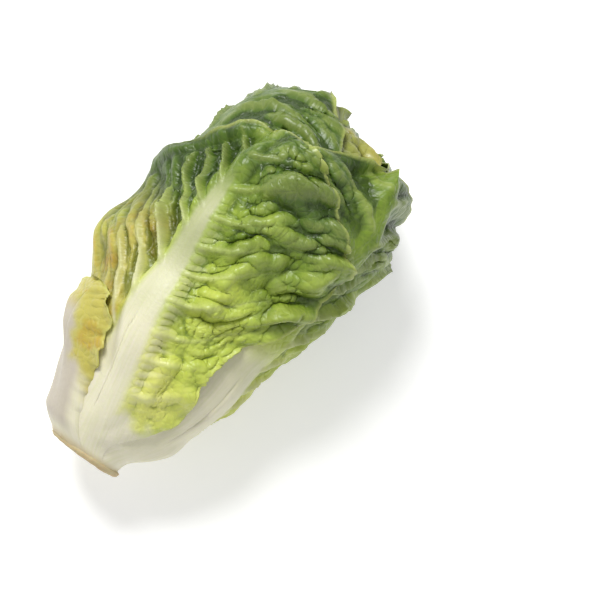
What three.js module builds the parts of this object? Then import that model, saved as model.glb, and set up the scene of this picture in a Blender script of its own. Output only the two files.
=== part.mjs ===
// A small romaine lettuce head, lying on its side: a cut stem, the tight heart of young leaves, and
// fourteen separate leaves that wrap round it one over the other. Millimetres, +Z up.
//
// The head is first laid out in its own frame: s runs along its axis from the cut end to the tip,
// phi is the angle round the axis from the upper side, positive towards -Y. Up to the shoulder a
// radius is measured square to the axis, and past it from the centre of the domed top. Leaves are
// laid from the inside out: each keeps clear of all that lies under it.

import * as THREE from "three";

// Form of the whole head
const SHOULDER = 105;
const BASE_RADIUS = 13.5;
const BODY_RADIUS = 45;
const DOME_EXTRA = 4;
const SWELL = 45;
const BASE_TUCK = 0.22;
const TUCK_REACH = 2.5;
const SIDE_BEND = 5;
const AXIS_TILT = THREE.MathUtils.degToRad(7);

// Leaves
const BLADE_THICKNESS = 1.1;
const CLEARANCE = 0.6;
const RIB_HALF_WIDTH = 13;
const RIB_THICKNESS = 3.8;
const RIB_FADE = 92;
const RIB_NARROWS = 88;
const RIB_EDGE = 0.001;
const WIDEST_ARC = 1.42;
const SETTLE_ROUNDS = 90;
const DRAPE_ROUNDS = 16;
const DRAPE = 0.35;
const SETTLED = 0.02;
const SAMPLES = 6;
const EDGE_PARTS = [0, 0.17, 0.33, 0.5, 0.67, 0.83];
const TINY = 1e-7;
const CELL = 8;
const CELL_MARGIN = 1.5;

// Where the head rests
const FLAT_DEPTH = 1.6;
const PRESSED_ARC = 0.75;

// Cut stem: [radius, s]
const STEM_PROFILE = [
  [0, -2], [12.4, -2], [13.5, -1.3], [13.8, 0], [12.8, 0.5],
  [8, 0.6], [7.8, 12], [6.2, 24], [4.8, 31], [0, 31],
];
const STEM_SIDES = 24;

// Heart of young leaves
const HEART_START = 31.5;
const HEART_RADIUS = 18;
const HEART_WRAPS = 5;
const HEART_STEP = 1.6;
const HEART_ROWS = 16;
const HEART_SIDES = 24;

// A leaf's outline, spread flat: x across from the rib, y along it. These are shares of its
// half width and of its length.
const COMMON_OUTLINE = [
  [0.16, 0], [0.21, 0.07], [0.38, 0.15], [0.55, 0.25], [0.6, 0.36], [0.74, 0.48],
  [0.9, 0.6], [1, 0.73], [0.96, 0.85], [0.76, 0.94], [0.4, 0.99], [0, 1],
];
// The leaves that face up have outlines of their own, in millimetres.
const FRONT_RIGHT = [
  [9.2, 0], [12.5, 9], [22, 18], [31, 29], [31, 41], [32, 54], [40, 67],
  [49, 80], [56, 93], [58, 108], [54, 122], [44, 133], [28, 139], [12, 140], [0, 138],
];
const FRONT_LEFT = [
  [9.2, 0], [11.5, 10], [17, 20], [24, 31], [31, 42], [38, 55], [46, 69],
  [52, 82], [53, 95], [49, 107], [40, 117], [28, 125], [17, 130], [8, 135], [0, 138],
];
const RIGHT_RIGHT = [
  [9.2, 0], [12.5, 8], [20, 18], [25, 30], [26, 42], [31, 54], [40, 68],
  [50, 82], [57, 95], [61, 108], [58, 122], [48, 134], [32, 143], [14, 147], [0, 147],
];
const RIGHT_LEFT = [
  [9.2, 0], [13, 10], [26, 22], [36, 36], [45, 52], [52, 68], [57, 84],
  [60, 100], [59, 116], [54, 130], [42, 141], [22, 147], [0, 147],
];
const SHORT_RIGHT = [
  [7.5, 0], [9, 12], [12, 22], [15, 32], [16, 42], [14, 51], [8, 58], [0, 61],
];
const SHORT_LEFT = [
  [7.5, 0], [9.5, 12], [14, 24], [18, 35], [19, 46], [16, 55], [8, 60], [0, 61],
];

// From the inside out. turn: where the rib lies round the axis, at the base and at the tip.
// share: how far out the leaf's own form lies, as a share of the head's radius.
// rib: how thick its rib is, as a share of the others', where it isn't 1.
const LEAVES = [
  { name: "inner_leaf_1", turn: [205, 205], share: 0.47, start: 27, length: 146, width: 32, fine: 0 },
  { name: "inner_leaf_2", turn: [68, 60], share: 0.5, start: 25, length: 149, width: 34, fine: 0 },
  { name: "inner_leaf_3", turn: [-70, -62], share: 0.54, start: 22, length: 150, width: 37, fine: 0 },
  { name: "inner_leaf_4", turn: [152, 146], share: 0.58, start: 18, length: 151, width: 41, fine: 0 },
  { name: "inner_leaf_5", turn: [15, 8], share: 0.62, start: 14, length: 154, width: 45, fine: 1 },
  { name: "middle_leaf_1", turn: [-122, -126], share: 0.67, start: 10, length: 153, width: 50, fine: 1 },
  { name: "middle_leaf_2", turn: [85, 78], share: 0.71, start: 7, length: 154, width: 53, fine: 1 },
  { name: "middle_leaf_3", turn: [-45, -40], share: 0.76, start: 4, length: 156, width: 54, fine: 1 },
  { name: "outer_leaf_side_right", turn: [116, 108], share: 0.84, start: 1, length: 150, width: 58, fine: 2 },
  { name: "outer_leaf_side_left", turn: [-104, -86], share: 0.89, start: 1, length: 140, width: 60, fine: 2 },
  {
    name: "outer_leaf_right", turn: [60, 44], share: 0.91, start: 1, fine: 2,
    right: RIGHT_RIGHT, left: RIGHT_LEFT,
  },
  { name: "outer_leaf_under", turn: [181, 181], share: 0.96, start: 1, length: 145, width: 62, fine: 2 },
  {
    name: "outer_leaf_front", turn: [-6, -36], share: 0.99, start: 1, fine: 2,
    right: FRONT_RIGHT, left: FRONT_LEFT,
  },
  {
    name: "outer_leaf_short", turn: [-57, -56], share: 0.9, start: 1, fine: 1, rib: 0.4,
    right: SHORT_RIGHT, left: SHORT_LEFT,
  },
];
// Rows along a leaf, and columns each side of its rib, for each grade of fineness
const GRADES = [
  { rows: 11, columns: [0.3, 0.65, 1] },
  { rows: 14, columns: [0.25, 0.5, 0.76, 1] },
  { rows: 18, columns: [0.2, 0.4, 0.6, 0.8, 1] },
];

const LEAF_GREEN = 0x7fa548;
const HEART_GREEN = 0xc6cf7a;
const STEM_CREAM = 0xd9cfa6;

// Small maths
const TAU = Math.PI * 2;
const clamp = (x, low, high) => Math.min(Math.max(x, low), high);
const mix = (a, b, t) => a + (b - a) * t;
const smooth = (x, low, high) => {
  const t = clamp((x - low) / (high - low), 0, 1);
  return t * t * (3 - 2 * t);
};
// A repeatable draw from 0 to 1 for leaf k and purpose j
const draw = (k, j) => {
  const x = Math.sin(k * 12.9898 + j * 78.233) * 43758.5453;
  return x - Math.floor(x);
};

// Point on a smooth curve through the points, at share t of its length
function alongCurve(points, t) {
  const lengths = [0];
  for (let i = 1; i < points.length; i++) {
    const step = Math.hypot(points[i][0] - points[i - 1][0], points[i][1] - points[i - 1][1]);
    lengths.push(lengths[i - 1] + step);
  }
  const wanted = t * lengths[points.length - 1];
  let i = 0;
  while (i < points.length - 2 && lengths[i + 1] < wanted) i++;
  const u = (wanted - lengths[i]) / (lengths[i + 1] - lengths[i]);
  const [p0, p1, p2, p3] = [Math.max(i - 1, 0), i, i + 1, Math.min(i + 2, points.length - 1)]
    .map((n) => points[n]);
  return [0, 1].map((c) => 0.5 * (2 * p1[c] + (p2[c] - p0[c]) * u
    + (2 * p0[c] - 5 * p1[c] + 4 * p2[c] - p3[c]) * u * u
    + (3 * p1[c] - p0[c] - 3 * p2[c] + p3[c]) * u * u * u));
}

// Radius of the whole head at s, up to the shoulder
function bodyRadius(s) {
  const grown = (1 - Math.exp(-s / SWELL)) / (1 - Math.exp(-SHOULDER / SWELL));
  return mix(BASE_RADIUS, BODY_RADIUS, grown) * (1 - BASE_TUCK * Math.exp(-s / TUCK_REACH));
}

// The ray on which a leaf's sheet point lies: it starts at distance q up the axis and has
// direction d. turn is the rib's angle round the axis there, in radians.
function sheetRay(x, y, turn, share) {
  const outward = [0, -Math.sin(turn), Math.cos(turn)];
  const across = [0, -Math.cos(turn), -Math.sin(turn)];
  if (y <= SHOULDER) {
    const arc = x / (bodyRadius(y) * share);
    return { q: y, d: outward.map((o, c) => o * Math.cos(arc) + across[c] * Math.sin(arc)) };
  }
  const radius = BODY_RADIUS * share;
  const arc = clamp(x / radius, -WIDEST_ARC, WIDEST_ARC);
  const rise = (y - SHOULDER) / radius;
  const middle = [Math.sin(rise), outward[1] * Math.cos(rise), outward[2] * Math.cos(rise)];
  return { q: SHOULDER, d: middle.map((m, c) => m * Math.cos(arc) + across[c] * Math.sin(arc)) };
}

// Radius of the whole head on a ray
const headRadius = (ray) => (ray.q < SHOULDER ? bodyRadius(ray.q) : BODY_RADIUS + DOME_EXTRA * ray.d[0] ** 2);
const pointOn = (ray, r) => [ray.q + ray.d[0] * r, ray.d[1] * r, ray.d[2] * r];

// How far the head's weight presses this side flat: 1 at the underside, 0 all round the rest
const pressed = (ray) => smooth(Math.acos(clamp(-ray.d[2], -1, 1)), PRESSED_ARC * 1.5, PRESSED_ARC);

// Where a ray meets a triangle: [distance, and the shares of its second and third corners], or null
function meet(q, d, t) {
  const [ax, ay, az] = [t[3] - t[0], t[4] - t[1], t[5] - t[2]];
  const [bx, by, bz] = [t[6] - t[0], t[7] - t[1], t[8] - t[2]];
  const px = d[1] * bz - d[2] * by;
  const py = d[2] * bx - d[0] * bz;
  const pz = d[0] * by - d[1] * bx;
  const det = ax * px + ay * py + az * pz;
  if (Math.abs(det) < TINY) return null;
  const [ox, oy, oz] = [q - t[0], -t[1], -t[2]];
  const u = (ox * px + oy * py + oz * pz) / det;
  if (u < -TINY || u > 1 + TINY) return null;
  const qx = oy * az - oz * ay;
  const qy = oz * ax - ox * az;
  const qz = ox * ay - oy * ax;
  const v = (d[0] * qx + d[1] * qy + d[2] * qz) / det;
  if (v < -TINY || u + v > 1 + TINY) return null;
  return [(bx * qx + by * qy + bz * qz) / det, u, v];
}

// The ray that passes through a point
function rayThrough(p) {
  const q = Math.min(p[0], SHOULDER);
  const across = [p[0] - q, p[1], p[2]];
  const size = Math.hypot(...across);
  return { q, d: across.map((x) => x / size), size };
}

// Where a ray passes through a bullet round the head's axis, and a cell's place in a lookup there
const bulletPoint = (ray) => pointOn(ray, BODY_RADIUS);
const CELL_SPAN = 1024;
const cellKey = (...cell) => cell.reduce((key, n) => key * CELL_SPAN + n + CELL_SPAN / 2, 0);

// Triangles, looked up by where their rays pass through a bullet round the head's axis
class Lookup {
  constructor() {
    this.cells = new Map();
  }

  add(item, t) {
    const low = [Infinity, Infinity, Infinity];
    const high = [-Infinity, -Infinity, -Infinity];
    for (let i = 0; i < 9; i += 3) {
      const on = bulletPoint(rayThrough([t[i], t[i + 1], t[i + 2]]));
      for (let c = 0; c < 3; c++) {
        low[c] = Math.min(low[c], Math.floor((on[c] - CELL_MARGIN) / CELL));
        high[c] = Math.max(high[c], Math.floor((on[c] + CELL_MARGIN) / CELL));
      }
    }
    for (let x = low[0]; x <= high[0]; x++) {
      for (let y = low[1]; y <= high[1]; y++) {
        for (let z = low[2]; z <= high[2]; z++) {
          const key = cellKey(x, y, z);
          if (!this.cells.has(key)) this.cells.set(key, []);
          this.cells.get(key).push(item);
        }
      }
    }
  }

  near(ray) {
    return this.cells.get(cellKey(...bulletPoint(ray).map((x) => Math.floor(x / CELL)))) ?? [];
  }
}

// The outer triangles of everything laid so far, as a list and as a lookup
const laid = [];
const laidLookup = new Lookup();
function lay(points, faces) {
  for (const face of faces) {
    const triangle = face.flatMap((n) => points[n]);
    laid.push(triangle);
    laidLookup.add(triangle, triangle);
  }
}

// How far out the solids that are laid already reach on a ray
function reachOn(ray) {
  let reach = 0;
  for (const triangle of laidLookup.near(ray)) {
    const met = meet(ray.q, ray.d, triangle);
    if (met && met[0] > reach) reach = met[0];
  }
  return reach;
}

// A grid's triangles, row by row, that close on one last point
function gridFaces(rows, columns, last) {
  const faces = [];
  for (let i = 0; i < rows - 1; i++) {
    for (let j = 0; j < columns - 1; j++) {
      const a = i * columns + j;
      const [b, c, d] = [a + 1, a + columns, a + columns + 1];
      // The diagonals lean away from the rib on both sides of it
      if (j < (columns - 1) / 2) faces.push([a, b, d], [a, d, c]);
      else faces.push([a, b, c], [b, d, c]);
    }
  }
  const top = (rows - 1) * columns;
  for (let j = 0; j < columns - 1; j++) faces.push([top + j, top + j + 1, last]);
  return faces;
}

function geometryOf(points, faces) {
  const geometry = new THREE.BufferGeometry();
  geometry.setAttribute("position", new THREE.Float32BufferAttribute(points.flat(), 3));
  geometry.setIndex(faces.flat());
  geometry.computeVertexNormals();
  return geometry;
}

// From the head's own frame to the part's: bent a little sideways, tilted, and not yet set down
function settle([x, y, z]) {
  const near = Math.min(x, SHOULDER) / SHOULDER;
  const past = Math.max(x - SHOULDER, 0) / SHOULDER;
  const bent = y - SIDE_BEND * (near * near + 2 * past);
  const [c, s] = [Math.cos(AXIS_TILT), Math.sin(AXIS_TILT)];
  return [x * c - z * s, bent, x * s + z * c];
}

// A leaf's two margins, in millimetres
function outlines(leaf) {
  if (leaf.right) return [leaf.left, leaf.right];
  const scaled = COMMON_OUTLINE.map(([x, y]) => [x * leaf.width, y * leaf.length]);
  return [scaled, scaled];
}

// Half width and thickness of the rib, at y along the leaf
const ribHalfWidth = (y) => RIB_HALF_WIDTH * Math.exp(-((y / RIB_NARROWS) ** 2)) * mix(0.64, 1, smooth(y, 0, 18)) + 0.8;
function ribThickness(y, leaf) {
  return ((leaf.rib ?? 1) * RIB_THICKNESS * Math.exp(-y / RIB_FADE) * mix(0.6, 1, leaf.share)) + 0.5;
}

// The broad folds of the blade, which grow from the rib to the margin
function folds(k, a, out, side) {
  const waves = 3.6 + 1.2 * draw(k, 3 + side);
  const phase = TAU * draw(k, 5 + side);
  const high = smooth(a, 0.08, 0.3) * smooth(out, 0, 1);
  const wave = Math.cos(TAU * waves * a + phase + 1.4 * out);
  return high * (2.4 * wave + 1.1 * out ** 4);
}

function makeLeaf(leaf, k) {
  const { rows, columns } = GRADES[leaf.fine];
  const [left, right] = outlines(leaf);
  const across = [...columns.toReversed().map((c) => -c), -RIB_EDGE, 0, RIB_EDGE, ...columns];
  const count = across.length;
  const tip = left[left.length - 1][1];

  // Sheet points, row by row from the base, and the last one at the tip
  const sheet = [];
  for (let i = 0; i <= rows; i++) {
    const a = (i / rows) ** 1.08;
    const y = mix(0, tip, a);
    const leftEdge = alongCurve(left, a);
    const rightEdge = alongCurve(right, a);
    for (const c of i < rows ? across : [0]) {
      const side = c < 0 ? -1 : 1;
      const edge = side < 0 ? leftEdge : rightEdge;
      const rib = Math.min(ribHalfWidth(y), edge[0] * 0.8);
      // The columns start at the rib's edge and share out what is left to the margin
      const out = Math.abs(c);
      const share = c === 0 || edge[0] === 0 ? 0 : mix(rib / edge[0], 1, out);
      sheet.push({ x: side * edge[0] * share, y: mix(y, edge[1], share), a, out, side });
    }
  }

  // The base of the leaf starts part of the way up for the inner ones
  const span = tip - leaf.start;
  for (const p of sheet) p.y = leaf.start + (p.y * span) / tip;

  const turnAt = (y) => THREE.MathUtils.degToRad(mix(leaf.turn[0], leaf.turn[1], y / tip));
  for (const p of sheet) {
    p.ray = sheetRay(p.x, p.y, turnAt(p.y), leaf.share);
    const fromRib = p.x / ribHalfWidth(p.y);
    p.thick = BLADE_THICKNESS + ribThickness(p.y, leaf) * clamp(1 - fromRib ** 2, 0, 1);
    const fold = folds(k, p.a, p.out, p.side) * leaf.share ** 2 * (1 - 0.9 * pressed(p.ray));
    p.r = headRadius(p.ray) * leaf.share + fold - p.thick;
  }

  const faces = gridFaces(rows, count, rows * count);
  keepClear(sheet, faces);

  const inner = sheet.map((p) => pointOn(p.ray, p.r));
  const outer = sheet.map((p) => pointOn(p.ray, p.r + p.thick));
  lay(outer, faces);
  return closedSheet(inner, outer, faces, rows, count);
}

// Lifts a leaf's inner side until each of its triangles clears what lies under it
function keepClear(sheet, faces) {
  const corners = (face) => face.flatMap((n) => pointOn(sheet[n].ray, sheet[n].r));
  const tests = [];
  const own = new Lookup();
  for (const face of faces) {
    const t = corners(face);
    own.add({ face, t }, t);
    // Points spread over the leaf's own triangle, against all that is laid
    for (let u = 0; u <= SAMPLES; u++) {
      for (let v = 0; v <= SAMPLES - u; v++) {
        const w = [1 - (u + v) / SAMPLES, u / SAMPLES, v / SAMPLES];
        const ray = rayThrough([0, 1, 2].map((c) => w[0] * t[c] + w[1] * t[c + 3] + w[2] * t[c + 6]));
        const reach = reachOn(ray);
        if (reach > 0) tests.push({ face, w, ray, reach });
      }
    }
  }
  // Points along the edges of what is laid, against the leaf's own triangles
  for (const t of laid) {
    for (let e = 0; e < 9; e += 3) {
      const f = (e + 3) % 9;
      for (const part of EDGE_PARTS) {
        const ray = rayThrough([0, 1, 2].map((c) => mix(t[e + c], t[f + c], part)));
        for (const { face, t: mine } of own.near(ray)) {
          const met = meet(ray.q, ray.d, mine);
          if (!met || met[0] <= 0 || met[0] > ray.size + CLEARANCE * 8) continue;
          tests.push({ face, w: [1 - met[1] - met[2], met[1], met[2]], ray, reach: ray.size });
        }
      }
    }
  }
  const neighbours = sheet.map(() => new Set());
  for (const face of faces) {
    for (const n of face) face.forEach((m) => m !== n && neighbours[n].add(m));
  }
  const start = sheet.map((p) => p.r);
  for (let round = 0; round < SETTLE_ROUNDS; round++) {
    let worst = 0;
    for (const { face, w, ray, reach } of tests) {
      const rough = w[0] * sheet[face[0]].r + w[1] * sheet[face[1]].r + w[2] * sheet[face[2]].r;
      if (rough > reach + CLEARANCE * 8) continue;
      const met = meet(ray.q, ray.d, corners(face));
      const short = reach + CLEARANCE - (met ? met[0] : rough);
      if (short <= 0) continue;
      worst = Math.max(worst, short);
      const total = w[0] * w[0] + w[1] * w[1] + w[2] * w[2];
      for (let n = 0; n < 3; n++) sheet[face[n]].r += (short * w[n]) / total;
    }
    if (round > DRAPE_ROUNDS && worst < SETTLED) break;
    if (round >= DRAPE_ROUNDS) continue;
    // The lift spreads out like a sheet that drapes over what is under it
    const lift = sheet.map((p, n) => p.r - start[n]);
    sheet.forEach((p, n) => {
      let mean = 0;
      for (const m of neighbours[n]) mean += lift[m] / neighbours[n].size;
      p.r = start[n] + Math.max(mix(lift[n], mean, DRAPE), 0);
    });
  }
}

// Joins a leaf's two sides along its margin
function closedSheet(inner, outer, faces, rows, count) {
  const n = inner.length;
  const margin = [];
  for (let j = 0; j < count; j++) margin.push(j);
  for (let i = 1; i < rows; i++) margin.push(i * count + count - 1);
  margin.push(n - 1);
  for (let i = rows - 1; i > 0; i--) margin.push(i * count);
  const all = [];
  for (const [a, b, c] of faces) all.push([a, c, b], [a + n, b + n, c + n]);
  margin.forEach((a, m) => {
    const b = margin[(m + 1) % margin.length];
    all.push([a, b, b + n], [a, b + n, a + n]);
  });
  return { points: [...inner, ...outer], faces: all };
}

// The cut stem, turned about the head's axis
function makeStem() {
  const profile = STEM_PROFILE.map(([r, s]) => new THREE.Vector2(r, s));
  const turned = new THREE.LatheGeometry(profile, STEM_SIDES);
  turned.rotateZ(-Math.PI / 2);
  return turned;
}

// The heart: a blunt bud whose wrapped young leaves each end in a low step that runs up it
function makeHeart() {
  const points = [];
  const rays = [];
  for (let i = 0; i <= HEART_ROWS; i++) {
    const y = mix(HEART_START, SHOULDER + (HEART_RADIUS * Math.PI) / 2, i / HEART_ROWS);
    for (let j = 0; j < HEART_SIDES; j++) {
      const around = (TAU * j) / HEART_SIDES;
      const d = [0, -Math.sin(around), Math.cos(around)];
      const rise = Math.max(y - SHOULDER, 0) / HEART_RADIUS;
      const ray = { q: Math.min(y, SHOULDER), d: [Math.sin(rise), d[1] * Math.cos(rise), d[2] * Math.cos(rise)] };
      const wrap = (around / TAU) * HEART_WRAPS + (0.8 * y) / SHOULDER;
      const step = HEART_STEP * (wrap - Math.floor(wrap)) * Math.cos(rise);
      const radius = HEART_RADIUS * mix(0.25, 1, smooth(y, HEART_START - 12, 75)) + step;
      rays.push(ray);
      points.push(pointOn(ray, radius));
      if (i === HEART_ROWS) break;
    }
  }
  const last = HEART_ROWS * HEART_SIDES;
  const faces = [];
  for (let i = 0; i < HEART_ROWS; i++) {
    for (let j = 0; j < HEART_SIDES; j++) {
      const a = i * HEART_SIDES + j;
      const b = i * HEART_SIDES + ((j + 1) % HEART_SIDES);
      if (i === HEART_ROWS - 1) faces.push([a, b, last]);
      else faces.push([a, b, b + HEART_SIDES], [a, b + HEART_SIDES, a + HEART_SIDES]);
    }
  }
  const foot = points.push([HEART_START, 0, 0]) - 1;
  for (let j = 0; j < HEART_SIDES; j++) faces.push([(j + 1) % HEART_SIDES, j, foot]);
  return { points, faces };
}

function material(color, roughness) {
  return new THREE.MeshStandardMaterial({ color, roughness, metalness: 0 });
}

const head = new THREE.Group();
const pieces = [];

const stemGeometry = makeStem();
const stemCorners = Array.from(stemGeometry.toNonIndexed().getAttribute("position").array);
for (let i = 0; i < stemCorners.length; i += 9) {
  const corner = [0, 3, 6].map((n) => stemCorners.slice(i + n, i + n + 3));
  lay(corner, [[0, 1, 2]]);
}
const heart = makeHeart();
lay(heart.points, heart.faces);
pieces.push({ name: "heart", solid: heart, color: HEART_GREEN });
LEAVES.forEach((leaf, k) => {
  pieces.push({ name: leaf.name, solid: makeLeaf(leaf, k), color: LEAF_GREEN });
});

// Set down: the lowest leaf is pressed flat over a small spot, and the origin goes to the middle
// of the underside of the head's box.
for (const piece of pieces) piece.solid.points = piece.solid.points.map(settle);
const stemPoints = [];
const stemPosition = stemGeometry.getAttribute("position");
for (let i = 0; i < stemPosition.count; i++) {
  stemPoints.push(settle([stemPosition.getX(i), stemPosition.getY(i), stemPosition.getZ(i)]));
}
stemGeometry.setAttribute("position", new THREE.Float32BufferAttribute(stemPoints.flat(), 3));

const everyPoint = [...stemPoints, ...pieces.flatMap((piece) => piece.solid.points)];
const box = new THREE.Box3().setFromPoints(everyPoint.map((p) => new THREE.Vector3(...p)));
const floor = box.min.z + FLAT_DEPTH;
const origin = [(box.min.x + box.max.x) / 2, (box.min.y + box.max.y) / 2, floor];
const setDown = (p) => [p[0] - origin[0], p[1] - origin[1], Math.max(p[2] - origin[2], 0)];

for (const piece of pieces) {
  const points = piece.solid.points.map(setDown);
  const mesh = new THREE.Mesh(geometryOf(points, piece.solid.faces), material(piece.color, 0.45));
  mesh.name = piece.name;
  head.add(mesh);
}
const stem = new THREE.Mesh(stemGeometry, material(STEM_CREAM, 0.6));
stem.name = "cut_stem";
stem.position.set(-origin[0], -origin[1], -origin[2]);
head.add(stem);

export default head;
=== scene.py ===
"""Looks of a small romaine lettuce head that lies on its side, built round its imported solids.

Every leaf is rebuilt as a fine closed sheet, from an outline, turn and share that follow those of
its solid, with its veins, hollows, blisters, folds and ruffled margin. Lengths are in millimetres
until a mesh is made. s runs along the head's axis from the cut end. -Y is the head's right side.
Most numbers in the calls of smooth() are lengths too: along a leaf, from its rib or from its edge.
"""

import math

import bpy
import numpy as np
from mathutils import Matrix, Vector
from mathutils.bvhtree import BVHTree


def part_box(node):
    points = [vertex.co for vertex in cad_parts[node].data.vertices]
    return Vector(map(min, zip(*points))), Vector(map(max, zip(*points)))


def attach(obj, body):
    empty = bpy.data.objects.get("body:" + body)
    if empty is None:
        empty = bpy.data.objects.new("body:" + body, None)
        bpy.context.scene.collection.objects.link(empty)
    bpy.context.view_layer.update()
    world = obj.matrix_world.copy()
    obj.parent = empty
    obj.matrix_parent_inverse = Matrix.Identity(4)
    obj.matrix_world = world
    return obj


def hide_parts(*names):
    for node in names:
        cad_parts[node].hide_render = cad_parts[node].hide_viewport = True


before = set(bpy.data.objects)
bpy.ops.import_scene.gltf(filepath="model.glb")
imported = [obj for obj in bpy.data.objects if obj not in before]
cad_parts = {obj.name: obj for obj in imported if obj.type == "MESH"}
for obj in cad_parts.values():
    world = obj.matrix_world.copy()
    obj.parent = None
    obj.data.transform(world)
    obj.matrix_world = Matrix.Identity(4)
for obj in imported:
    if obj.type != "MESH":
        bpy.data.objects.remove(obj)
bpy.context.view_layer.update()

MM = 0.001
TAU = 2 * math.pi

# Form of the whole head, as in the solids
SHOULDER = 105.0
BASE_RADIUS = 13.5
BODY_RADIUS = 45.0
DOME_EXTRA = 4.0
SWELL = 45.0
BASE_TUCK = 0.22
TUCK_REACH = 2.5
SIDE_BEND = 5.0
AXIS_TILT = math.radians(7)

# Past the shoulder a leaf spans at most this arc to each side of its rib, in radians
WIDEST_ARC = 1.42

# Over this arc the underside is pressed by the head's weight, and the relief there is flattened
PRESSED_ARC = 0.75
PRESSED_FLAT = 0.9

# How much slimmer than its solids the head is toward the tips, at its left and on top, and between
# which places along the axis that comes and goes
LEFT_TAPER = 5.0
LEFT_TAPER_STARTS = (78, 102)
LEFT_TAPER_ENDS = (136, 114)
TOP_TAPER = 5.5
TOP_TAPER_STARTS = (40, 85)

# Ribs
RIB_HALF_WIDTH = 9.0
RIB_NARROWS = 86.0
RIB_FOOT_SHARE = 0.64
RIB_FOOT_LENGTH = 18
RIB_LEAST_HALF_WIDTH = 0.8
RIB_THICKNESS = 3.8
RIB_FADE = 92.0
RIB_LEAST_THICKNESS = 0.5
INNERMOST_RIB_SHARE = 0.6

# Blades, and the clear gap between two of them
BLADE_THICKNESS = 0.9
MARGIN_THICKNESS = 0.5
GAP = 0.35

# The grid's rows are a little closer together at the base, and end just short of the outline's tip
ROW_POWER = 1.08
TIP_CUT = 0.996

# The margin: how long it counts as from base to tip, its teeth and lobes
MARGIN_RUN = 200
TOOTH_LENGTH = 5.2
TOOTH_DEPTH = 0.6
MARGIN_LOBE_LENGTH = 16
MARGIN_LOBE_DEPTH = 2.2

# The low broad folds of the whole leaf
BROAD_FOLD_HEIGHT = 2.4
BROAD_MARGIN_RISE = 1.1

# How leaves are laid over each other: where the rays start, and how far creases are pinched
OUTSIDE = 90.0
PINCH = 1.7

# Side veins and the comb of fine ribs between them. Pairs are for the left and the right side
VEIN_SPACING = (13.0, 11.5)
VEIN_WANDER = 5.0
VEIN_CURVE = 0.004
COMB_SPACING = 2.9
COMB_WIDTH = 0.8
COMB_LENGTH = 7.5

# Sizes of the folds along the side veins and across them, and of the rounder forms
LONG_FOLD = (31, 13)
SHORT_FOLD = (13, 6.5)
LOBE = 10
PIMPLE = 4
CRUMPLE = 2.6

# Heights of the relief. Pairs are for a green and a white vein
VEIN_HEIGHT = (0.3, 2.0)
VEIN_WIDTH = (0.7, 1.25)
HOLLOW_DEPTH = (0.6, 5.0)
COMB_HEIGHT = 0.6
BLADE_SINKS = 1.3
PANEL_HEIGHT = 1.8
LONG_FOLD_HEIGHT = 15
LONG_FOLD_SINKS = 2.4
CREST_HEIGHT = 2.6
CREST_SHARPNESS = 9
SHORT_FOLD_HEIGHT = 7.0
LOBE_HEIGHT = 5.0
PIMPLE_HEIGHT = 1.4
CRUMPLE_HEIGHT = 0.9
MARGIN_ROLL = 1.6
MARGIN_WAVE = 4.5

# Size of the patches of colour, and rounds of blurring that find what lies low or high, near and
# wide, for the painted shade and light
PATCH = 21
NEAR_ROUNDS = 16
WIDE_ROUNDS = 110

# The stem's outline: radius and s
STEM_RADIUS = 13.8
STEM_PROFILE = [
    (0, -2), (12.4, -2), (13.5, -1.3), (STEM_RADIUS, 0), (12.8, 0.5), (8, 0.6), (7.8, 12),
    (6.2, 24), (4.8, 31), (0, 31),
]
STEM_SIDES = 120
STEM_RING_STEP = 0.7
STEM_LEAST_RADIUS = 0.02
# A knob on the rim: its place and width round the axis in radians, and its height as a share
KNOB_AT = 1.42
KNOB_WIDTH = 0.2
KNOB_HEIGHT = 0.08
# The stem's colours go by the radius on its face, and on to this number over its side
STEM_RINGS = 16.0

# Where the outer leaves grow out of the stem they run together. Each point is s and the radius,
# on the head's left and on its right, where the neck is slimmer
FUSED_LEFT = [(-0.6, 13.3), (0.5, 15), (2.5, 16.7), (8, 19), (15, 22.2), (20, 24.5)]
FUSED_RIGHT = [(-0.6, 13.3), (3.5, 13.8), (6.5, 15.4), (10, 18.4), (15, 22.6), (20, 25.5)]
FUSED_FROM = -0.6
FUSED_TO = 18.0
# Over that radius stand the ribs, and each leaf a little more than the one before it
FUSED_RIB = 0.8
FUSED_LAYER = 0.1
FIRST_OUTER = 8

# The heart
HEART_START = 31.5
HEART_RADIUS = 18.0
HEART_WRAPS = 5
HEART_STEP = 1.6
HEART_ROWS = 72
HEART_SIDES = 120

# Leaf outlines: x across from the rib and y along it, as shares of the half width and length
COMMON_OUTLINE = [
    (0.16, 0), (0.21, 0.07), (0.38, 0.15), (0.55, 0.25), (0.6, 0.36), (0.74, 0.48),
    (0.9, 0.6), (1, 0.73), (0.96, 0.85), (0.76, 0.94), (0.4, 0.99), (0, 1),
]
# Some outer leaves have outlines of their own, in millimetres
FRONT_RIGHT = [
    (9.2, 0), (12.5, 9), (22, 18), (30.5, 29), (30, 41), (33, 52), (41, 63), (50, 76), (56, 88),
    (57, 97), (53, 106), (47, 114), (40, 121), (33, 126), (24, 129), (12, 130), (0, 129),
]
FRONT_LEFT = [
    (9.2, 0), (11.5, 10), (17, 20), (25, 31), (33, 42), (42, 55), (50, 68), (54, 80), (52, 89),
    (44, 98), (32, 107), (21, 117), (13, 124), (6, 128), (0, 129),
]
RIGHT_RIGHT = [
    (9.2, 0), (12.5, 8), (20, 18), (25, 30), (26, 42), (31, 54), (40, 68), (50, 82), (57, 94),
    (60, 106), (57, 118), (48, 129), (36, 136), (20, 140), (0, 141),
]
RIGHT_LEFT = [
    (9.2, 0), (13, 10), (26, 22), (36, 36), (45, 52), (52, 68), (57, 84), (60, 98), (59, 112),
    (53, 124), (41, 133), (24, 139), (0, 141),
]
UNDER_RIGHT = [
    (9.2, 0), (12, 10), (22, 21), (31, 35), (34, 50), (42, 67), (48, 83), (49, 100),
    (45, 116), (36, 129), (20, 137), (0, 139),
]
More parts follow.
